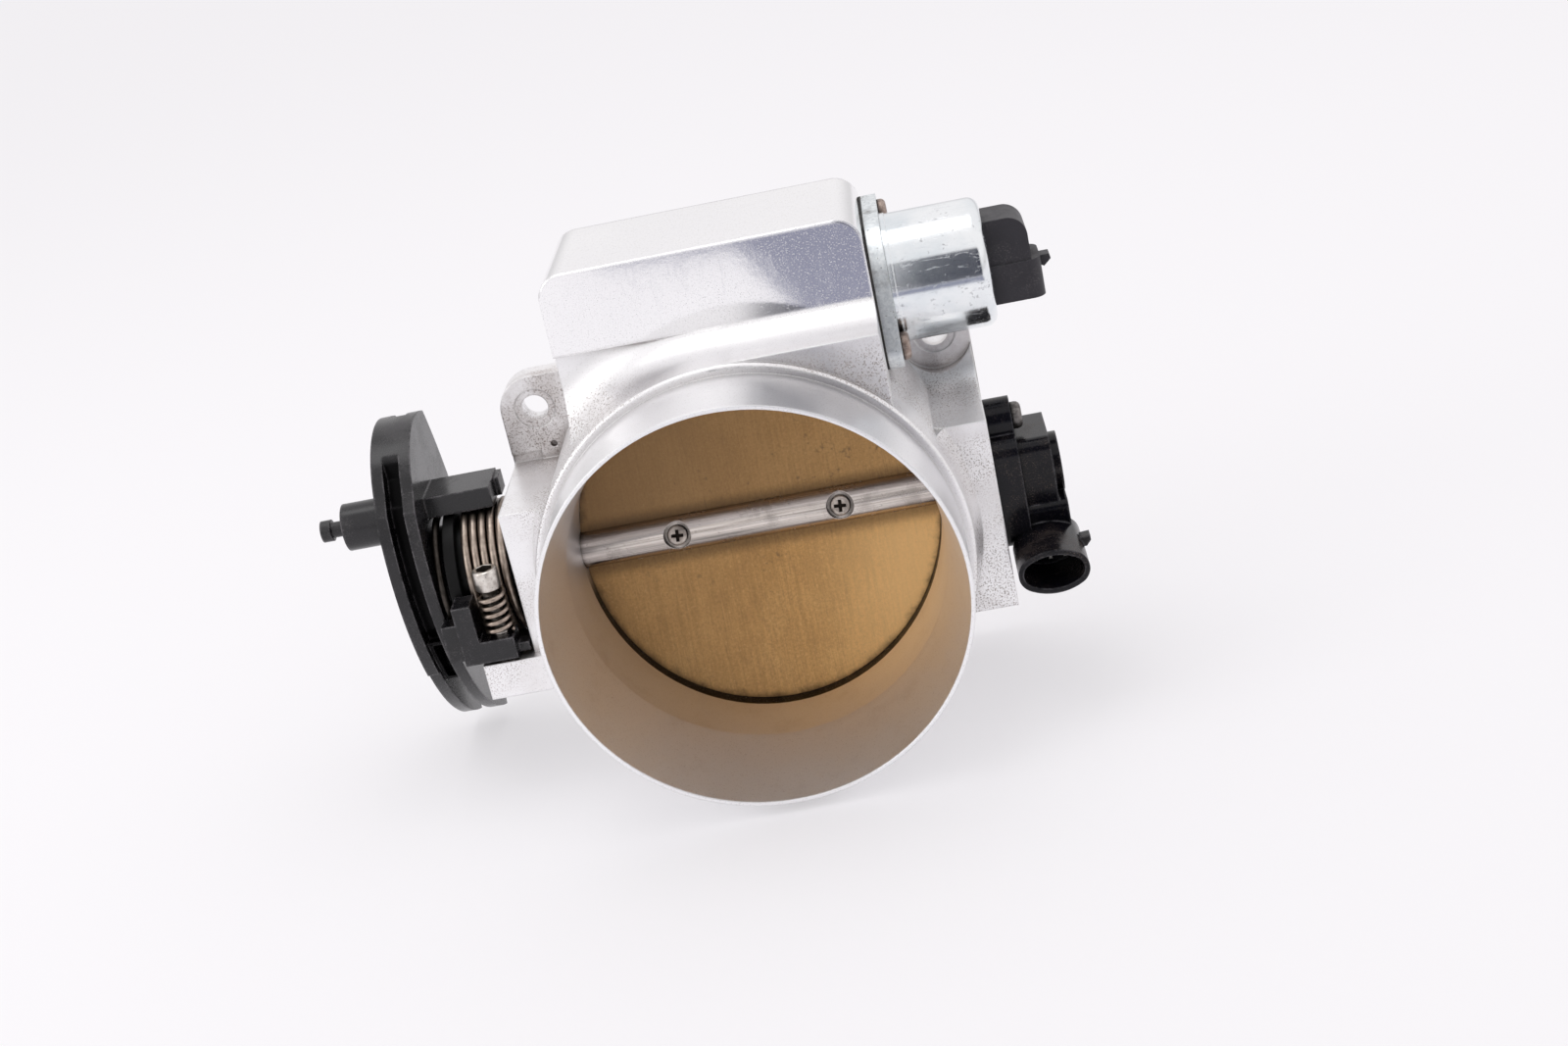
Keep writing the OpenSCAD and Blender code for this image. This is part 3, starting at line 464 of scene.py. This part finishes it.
MATERIALS = {
    "billet": billet(),
    "blade": brass_blade(),
    "shaft": steel("ground_shaft", (0.75, 0.69, 0.645), (0.48, 0.43, 0.39), 0.12, soot=0.25,
                   grain=(40.0, 2600.0, 2600.0)),
    "blade_screw": steel("sooty_screw", (0.62, 0.555, 0.50), (0.42, 0.365, 0.32), 0.26, soot=0.6,
                         grain=(900.0, 900.0, 900.0), soot_tone=(0.05, 0.038, 0.03)),
    # near-black steel for the sunk faces of screw heads: painted shade in the sockets
    "recess": steel("recess_painted_shade", (0.03, 0.026, 0.022), (0.015, 0.012, 0.01), 0.5, soot=0.5),
    "bright_screw": steel("bright_screw", (0.80, 0.76, 0.71), (0.60, 0.55, 0.50), 0.22, soot=0.55,
                          grain=(900.0, 900.0, 900.0)),
    "hidden_steel": steel("plain_steel", (0.62, 0.62, 0.62), (0.5, 0.5, 0.5), 0.3, soot=0.15),
    "spring": steel("spring_wire", (0.46, 0.385, 0.325), (0.32, 0.26, 0.215), 0.20, soot=0.2,
                    grain=(700.0, 700.0, 700.0), soot_tone=(0.06, 0.045, 0.038)),
    # near-black spring wire for the helper spring: painted shade
    "dark_spring": steel("shaded_spring_wire", (0.075, 0.065, 0.058), (0.04, 0.035, 0.03), 0.30, soot=0.6,
                         grain=(700.0, 700.0, 700.0), soot_tone=(0.03, 0.025, 0.02)),
    "zinc": zinc_can(),
    "zinc_flange": steel("zinc_flange", (0.84, 0.875, 0.885), (0.66, 0.70, 0.72), 0.26, soot=0.6,
                         grain=(900.0, 900.0, 900.0), soot_tone=(0.16, 0.15, 0.14)),
    "brown_screw": steel("brown_screw", (0.50, 0.41, 0.36), (0.28, 0.215, 0.185), 0.30, soot=0.5,
                         grain=(900.0, 900.0, 900.0), soot_tone=(0.06, 0.042, 0.036)),
    "dark_screw": steel("dark_screw", (0.26, 0.245, 0.235), (0.13, 0.12, 0.115), 0.34, soot=0.5,
                        grain=(900.0, 900.0, 900.0), soot_tone=(0.03, 0.026, 0.024)),
    "cam": cam_plastic(),
    "elbow": plastic("elbow_plastic", (0.020, 0.0185, 0.023), (0.10, 0.10, 0.11), 0.42, (0.20, 0.185, 0.19),
                     dust=0.20, shine=0.35),
    "sensor": plastic("sensor_plastic", (0.0028, 0.0028, 0.0048), (0.13, 0.125, 0.14), 0.13,
                      (0.15, 0.115, 0.095), dust=0.30, shine=0.24, coarse=0.02, wear=0.0008),
    "sleeve": plastic("sleeve_plastic", (0.004, 0.004, 0.004), (0.02, 0.02, 0.02), 0.35, (0.06, 0.055, 0.05),
                      dust=0.10, shine=0.15),
    "rotor": plastic("rotor_plastic", (0.45, 0.43, 0.37), (0.6, 0.58, 0.5), 0.4, (0.3, 0.28, 0.24), dust=0.2),
    "card": plastic("resistor_card", (0.03, 0.09, 0.05), (0.06, 0.14, 0.08), 0.35, (0.1, 0.12, 0.1),
                    dust=0.2),
    "rubber": flat_rubber("seal_rubber", (0.02, 0.02, 0.02), (0.07, 0.065, 0.06)),
    "red_seal": flat_rubber("seal_silicone", (0.25, 0.07, 0.04), (0.3, 0.12, 0.08)),
    "copper": steel("enamelled_copper", (0.72, 0.42, 0.26), (0.45, 0.22, 0.12), 0.3, soot=0.2,
                    grain=(2500.0, 200.0, 200.0)),
    "magnet": steel("sintered_magnet", (0.25, 0.25, 0.26), (0.16, 0.16, 0.17), 0.45, soot=0.2),
    # the sensor's terminals: grey tin plate, darkened further as painted shade
    "dark_contact": steel("tinned_contact_painted_shade", (0.34, 0.33, 0.31), (0.22, 0.21, 0.20), 0.35, soot=0.3),
    "contact": steel("plated_contact", (0.86, 0.78, 0.52), (0.7, 0.6, 0.36), 0.22, soot=0.1),
}

NODE_MATERIAL = {
    "housing": "billet", "passage_plug": "billet",
    "bearing_left": "hidden_steel", "bearing_right": "hidden_steel",
    "seal_left": "rubber", "seal_right": "rubber", "iac_gasket": "rubber", "tps_seal": "red_seal",
    "throttle_shaft": "shaft", "throttle_blade": "blade", "blade_screws": "blade_screw",
    "cable_cam": "cam", "cam_insert": "hidden_steel", "cam_washer": "hidden_steel", "cam_nut": "hidden_steel",
    "return_spring": "spring", "helper_spring": "spring", "idle_screw_spring": "spring",
    "iac_pintle_spring": "spring",
    "spring_guide": "sleeve", "spring_spacer": "sleeve", "idle_screw": "bright_screw",
    "iac_flange": "zinc_flange", "iac_can": "zinc", "iac_screws": "brown_screw", "iac_stator": "copper",
    "iac_rotor": "magnet", "iac_pintle": "magnet", "iac_connector": "elbow", "iac_terminals": "contact",
    "tps_base": "sensor", "tps_cover": "sensor", "tps_rotor": "rotor", "tps_element": "card",
    "tps_screws": "dark_screw", "tps_terminals": "dark_contact",
}


def dress(piece, key):
    piece.data.materials.clear()
    piece.data.materials.append(MATERIALS[key])


for node, key in NODE_MATERIAL.items():
    dress(frame["nodes"][node], key)


# ---------------------------------------------------------------- pieces


def piece_from(name, vertices, faces, smooth=True):
    mesh = bpy.data.meshes.new(name)
    mesh.from_pydata([tuple(v) for v in vertices], [], faces)
    mesh.validate()
    for polygon in mesh.polygons:
        polygon.use_smooth = smooth
    piece = bpy.data.objects.new(name, mesh)
    scene.collection.objects.link(piece)
    return piece


def swept_wire(name, path, radius, sides=14):
    """A round wire along a list of points, with domed ends."""
    count = len(path)
    tangents = [(path[min(i + 1, count - 1)] - path[max(i - 1, 0)]).normalized() for i in range(count)]
    side = tangents[0].orthogonal().normalized()
    rings = []
    for i in range(count):
        t = tangents[i]
        side = (side - t * side.dot(t)).normalized()
        rings.append((path[i], side.copy(), t.cross(side), radius))
    caps = []
    for sign, ring in ((-1, rings[0]), (1, rings[-1])):
        t = tangents[0] if sign < 0 else tangents[-1]
        steps = [(ring[0] + t * sign * radius * math.sin(a), ring[1], ring[2], radius * math.cos(a))
                 for a in (0.5, 0.95, 1.3)]
        caps.append(steps)
    rings = caps[0][::-1] + rings + caps[1]
    vertices = [c + (u * math.cos(a) + v * math.sin(a)) * r
                for c, u, v, r in rings for a in (2 * math.pi * j / sides for j in range(sides))]
    faces = [(i * sides + j, i * sides + (j + 1) % sides,
              (i + 1) * sides + (j + 1) % sides, (i + 1) * sides + j)
             for i in range(len(rings) - 1) for j in range(sides)]
    faces.append(tuple(range(sides))[::-1])
    faces.append(tuple((len(rings) - 1) * sides + j for j in range(sides)))
    return piece_from(name, vertices, faces)


def helix(axis_point, axis, across, radius, length, turns, start=0.0, per_turn=48):
    """Points round a line from axis_point, beginning on the side that across points to."""
    axis = Vector(axis).normalized()
    across = Vector(across)
    across = (across - axis * across.dot(axis)).normalized()
    up = axis.cross(across)
    steps = int(per_turn * turns)
    return [Vector(axis_point) + axis * (length * i / steps)
            + (across * math.cos(start + 2 * math.pi * turns * i / steps)
               + up * math.sin(start + 2 * math.pi * turns * i / steps)) * radius for i in range(steps + 1)]


def spring_piece(node, body, wire, turns, axis, across, begin=0.0, key="spring"):
    """A smooth coil in the box of a faceted CAD spring."""
    low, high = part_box(node)
    centre = (low + high) / 2
    i = max(range(3), key=lambda k: abs(axis[k]))
    span = high[i] - low[i] - 2 * wire
    radius = (high - low)[(i + 1) % 3] / 2 - wire
    if node in ("return_spring", "helper_spring"):
        centre.y, centre.z = SHAFT_Y, 0.0
        radius = min(abs(low.z), high.z) - wire
    start = centre.copy()
    start[i] = low[i] + wire
    path = helix(start, axis, across, radius, span, turns, math.radians(begin))
    coil = swept_wire(node + "_coil", path, wire)
    dress(coil, key)
    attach(coil, body)
    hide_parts(node)
    return coil


spring_piece("return_spring", "body", 1.05 * MM, 5.2, (1, 0, 0), (0, 0, -1))
# the helper spring is drawn in near-black wire: painted shade
spring_piece("helper_spring", "body", 0.95 * MM, 0.7, (1, 0, 0), (0, 0, -1), begin=150, key="dark_spring")
spring_piece("idle_screw_spring", "throttle", 0.62 * MM, 5.4, (0, 0, 1), (1, 0, 0))
spring_piece("iac_pintle_spring", "body", 0.5 * MM, 5.0, (1, 0, 0), (0, 0, -1))


def turned(name, base, axis, profile, recess=None, segments=72, key="hidden_steel", spin=0.0):
    """A solid of revolution from (height, radius) rings, with an optional shaped recess sunk in its top.

    recess is (radius at an angle, depth); the last ring of the profile is the flat top's outer edge.
    """
    axis = Vector(axis).normalized()
    side = axis.orthogonal().normalized()
    other = axis.cross(side)
    angles = [2 * math.pi * i / segments for i in range(segments)]
    turn = [(math.cos(a + spin), math.sin(a + spin)) for a in angles]
    rings = [[(height, radius)] * segments for height, radius in profile]
    if recess:
        shape, deep = recess
        top = profile[-1][0]
        rings.append([(top, shape(a)) for a in angles])
        rings.append([(top - 0.12 * deep, shape(a) * 0.93) for a in angles])
        rings.append([(top - deep, shape(a) * 0.86) for a in angles])
    vertices = [Vector(base) + axis * h + (side * c + other * d) * r
                for ring in rings for (h, r), (c, d) in zip(ring, turn)]
    faces = [(i * segments + j, i * segments + (j + 1) % segments, (i + 1) * segments + (j + 1) % segments,
              (i + 1) * segments + j) for i in range(len(rings) - 1) for j in range(segments)]
    sunk = (len(rings) - 3) * segments
    faces.append(tuple(range(segments))[::-1])
    faces.append(tuple((len(rings) - 1) * segments + j for j in range(segments)))
    piece = piece_from(name, vertices, faces)
    dress(piece, key)
    # the recess faces get the near-black recess steel: painted shade
    piece.data.materials.append(MATERIALS["recess"])
    for i, polygon in enumerate(piece.data.polygons):
        polygon.use_smooth = len(polygon.vertices) == 4
        if recess and i >= sunk and i != len(piece.data.polygons) - 2:
            polygon.material_index = 1
    return piece


def lobed(radius):
    return lambda a: radius * (1.0 + 0.13 * math.cos(6 * a))


def crossed(radius, arm):
    def shape(a):
        off = (a + math.pi / 4) % (math.pi / 2) - math.pi / 4
        return min(radius / math.cos(off), arm / max(abs(math.sin(off)), 1e-3))
    return shape


def hexagon(radius):
    return lambda a: radius * math.cos(math.pi / 6) / math.cos((a % (math.pi / 3)) - math.pi / 6)


def domed_head(shank, length, head, height, flat):
    """Rings of a screw: chamfered tip, shank, then a head with a rounded rim and a slightly domed top."""
    rings = [(0.0, shank * 0.7), (0.4 * MM, shank), (length, shank), (length, head * 0.97),
             (length + 0.1 * height, head)]
    for i in range(7):
        a = i / 6 * math.pi / 2
        rings.append((length + height * (0.45 + 0.55 * math.sin(a)), flat + (head - flat) * math.cos(a)))
    return rings


def paired_screws(node, key, head, height, shank, corners):
    """Two screws along X, at opposite corners of their node's box, seen from the end."""
    low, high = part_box(node)
    length = high.x - low.x - height
    rings = domed_head(shank, length, head, height, head * 0.62)
    for i, (y_end, z_end) in enumerate(corners):
        y = high.y - head if y_end else low.y + head
        z = high.z - head if z_end else low.z + head
        screw = turned(f"{node}_{i + 1}", (low.x, y, z), (1, 0, 0), rings,
                       (lobed(head * 0.46), height * 0.7), key=key)
        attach(screw, "body")
        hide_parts(node)


paired_screws("iac_screws", "brown_screw", 3.5 * MM, 2.1 * MM, 1.7 * MM, ((0, 0), (1, 1)))
paired_screws("tps_screws", "dark_screw", 3.4 * MM, 2.6 * MM, 1.6 * MM, ((0, 1), (1, 0)))

# the two cross-recess screws that hold the blade in the shaft, sunk in its counterbores
SCREW_FOOT, SCREW_SEAT, SCREW_HEAD = 4.55 * MM, 3.0 * MM, 2.6 * MM
UNDER_HEAD = SCREW_FOOT + SCREW_SEAT
lean = Vector((0, -LEAN_COS, LEAN_SIN))
for side in (-1, 1):
    seat = Vector((side * BLADE_SCREW_X, SHAFT_Y, 0.0))
    base = seat - lean * SCREW_FOOT
    rings = [(0.0, 1.2 * MM), (0.5 * MM, 1.75 * MM), (UNDER_HEAD, 1.75 * MM), (UNDER_HEAD, SCREW_HEAD)]
    rings += [(UNDER_HEAD + 0.7 * MM + 0.6 * MM * math.sin(a), SCREW_HEAD - 0.9 * MM * (1 - math.cos(a)))
              for a in (0.0, 0.4, 0.8, 1.2, math.pi / 2)]
    screw = turned("blade_screw_left" if side < 0 else "blade_screw_right", base, lean, rings,
                   (crossed(1.55 * MM, 0.42 * MM), 1.0 * MM), key="blade_screw", spin=0.7)
    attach(screw, "throttle")
    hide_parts("blade_screws")

# the idle screw: a thread drawn as plain rings, and a round head with a hex socket
IDLE_HEAD, IDLE_RING, IDLE_ROUND = 5.4 * MM, 0.8 * MM, 0.6 * MM
low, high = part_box("idle_screw")
head_r = (high.x - low.x) / 2
rings = [(0.0, 1.3 * MM), (0.5 * MM, 1.95 * MM)]
thread_end = high.z - low.z - IDLE_HEAD
turns = int((thread_end - 1.0 * MM) / IDLE_RING)
for i in range(turns):
    step = 0.6 * MM + i * IDLE_RING
    rings += [(step + 0.1 * MM, 1.75 * MM), (step + 0.4 * MM, 2.0 * MM), (step + 0.5 * MM, 2.0 * MM)]
top = high.z - low.z
rings += [(thread_end, 1.8 * MM), (thread_end, head_r * 0.9), (thread_end + 0.3 * MM, head_r),
          (top - IDLE_ROUND, head_r)]
rings += [(top - IDLE_ROUND * (1 - math.sin(a)), head_r - IDLE_ROUND * (1 - math.cos(a)))
          for a in (0.5, 1.0, math.pi / 2)]
idle = turned("idle_screw_socket", ((low.x + high.x) / 2, (low.y + high.y) / 2, low.z), (0, 0, 1), rings,
              (hexagon(2.2 * MM), 3.2 * MM), key="bright_screw")
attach(idle, "idle_stop")
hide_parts("idle_screw")

# ---------------------------------------------------------------- stage, camera and light

floor_z = cad_box[0].z - 0.0002
floor = piece_from("floor", [(-4, -4, floor_z), (4, -4, floor_z), (4, 4, floor_z), (-4, 4, floor_z)],
                   [(0, 1, 2, 3)])
paper = Shader("paper")
paper.set(Base_Color=(0.48, 0.475, 0.485), Roughness=0.9, Specular_IOR_Level=0.0,
          Emission_Color=(0.430, 0.423, 0.433), Emission_Strength=1.0)
floor.data.materials.append(paper.finish())

camera_data = bpy.data.cameras.new("camera")
camera_data.lens = 50.0
camera_data.sensor_width = 36.0
camera_data.clip_end = 20.0
camera = bpy.data.objects.new("camera", camera_data)
right = Vector((0.9799, 0.0089, -0.1994))
up = Vector((0.1806, 0.3864, 0.9045))
back = Vector((0.0851, -0.9223, 0.3770))
pose = Matrix((right, up, back)).transposed().to_4x4()
pose.translation = Vector((0.0530, -0.5335, 0.2064))
camera.matrix_world = pose
scene.collection.objects.link(camera)
scene.camera = camera

# two dark cards in front of the object, which only reflections see: they turn polished metal grey
low_z = floor_z + 0.001
CARDS = {
    "low_card": ((0.27, 0.28, 0.36),
                 [(0.004, -0.385, low_z), (0.30, -0.30, low_z), (0.30, -0.66, low_z),
                  (-0.13, -0.66, low_z), (-0.095, -0.533, low_z), (-0.032, -0.523, low_z)]),
    "tall_card": ((0.06, 0.064, 0.085),
                  [(0.03, -0.75, floor_z), (0.43, -0.75, floor_z), (0.43, -0.75, 0.68), (0.03, -0.75, 0.68)]),
}
for name, (shade, corners) in CARDS.items():
    card = piece_from(name, corners, [tuple(range(len(corners)))], smooth=False)
    felt = Shader(name)
    felt.set(Base_Color=shade, Roughness=1.0, Specular_IOR_Level=0.0)
    card.data.materials.append(felt.finish())
    card.visible_camera = False
    card.visible_shadow = False
    card.visible_diffuse = False

# a tent of white paper, a little darker low down all round
world = bpy.data.worlds.new("studio")
world.use_nodes = True
tent = world.node_tree
direction = tent.nodes.new("ShaderNodeTexCoord")
parts = tent.nodes.new("ShaderNodeSeparateXYZ")
tent.links.new(direction.outputs["Generated"], parts.inputs[0])
height = tent.nodes.new("ShaderNodeMapRange")
height.interpolation_type = "SMOOTHSTEP"
height.inputs["From Min"].default_value = 0.0
height.inputs["From Max"].default_value = 0.32
tent.links.new(parts.outputs["Z"], height.inputs["Value"])
grade = tent.nodes.new("ShaderNodeMix")
grade.data_type = "RGBA"
grade.inputs[6].default_value = (0.70, 0.69, 0.70, 1.0)
grade.inputs[7].default_value = (0.955, 0.938, 0.948, 1.0)
tent.links.new(height.outputs["Result"], grade.inputs[0])
tent.links.new(grade.outputs[2], tent.nodes["Background"].inputs["Color"])
tent.nodes["Background"].inputs["Strength"].default_value = 1.0
scene.world = world


def softbox(name, place, target, size, power):
    data = bpy.data.lights.new(name, "AREA")
    data.shape = "RECTANGLE"
    data.size, data.size_y = size
    data.energy = power
    light = bpy.data.objects.new(name, data)
    light.location = place
    light.rotation_euler = (Vector(target) - Vector(place)).to_track_quat("-Z", "Y").to_euler()
    scene.collection.objects.link(light)


softbox("top_light", (-0.15, 0.05, 1.0), (0, -0.03, 0), (0.55, 0.55), 1.5)
softbox("left_light", (-0.8, -0.45, 0.45), (0, -0.03, 0), (0.4, 0.6), 1.2)

scene.view_settings.view_transform = "Standard"
scene.view_settings.look = "None"
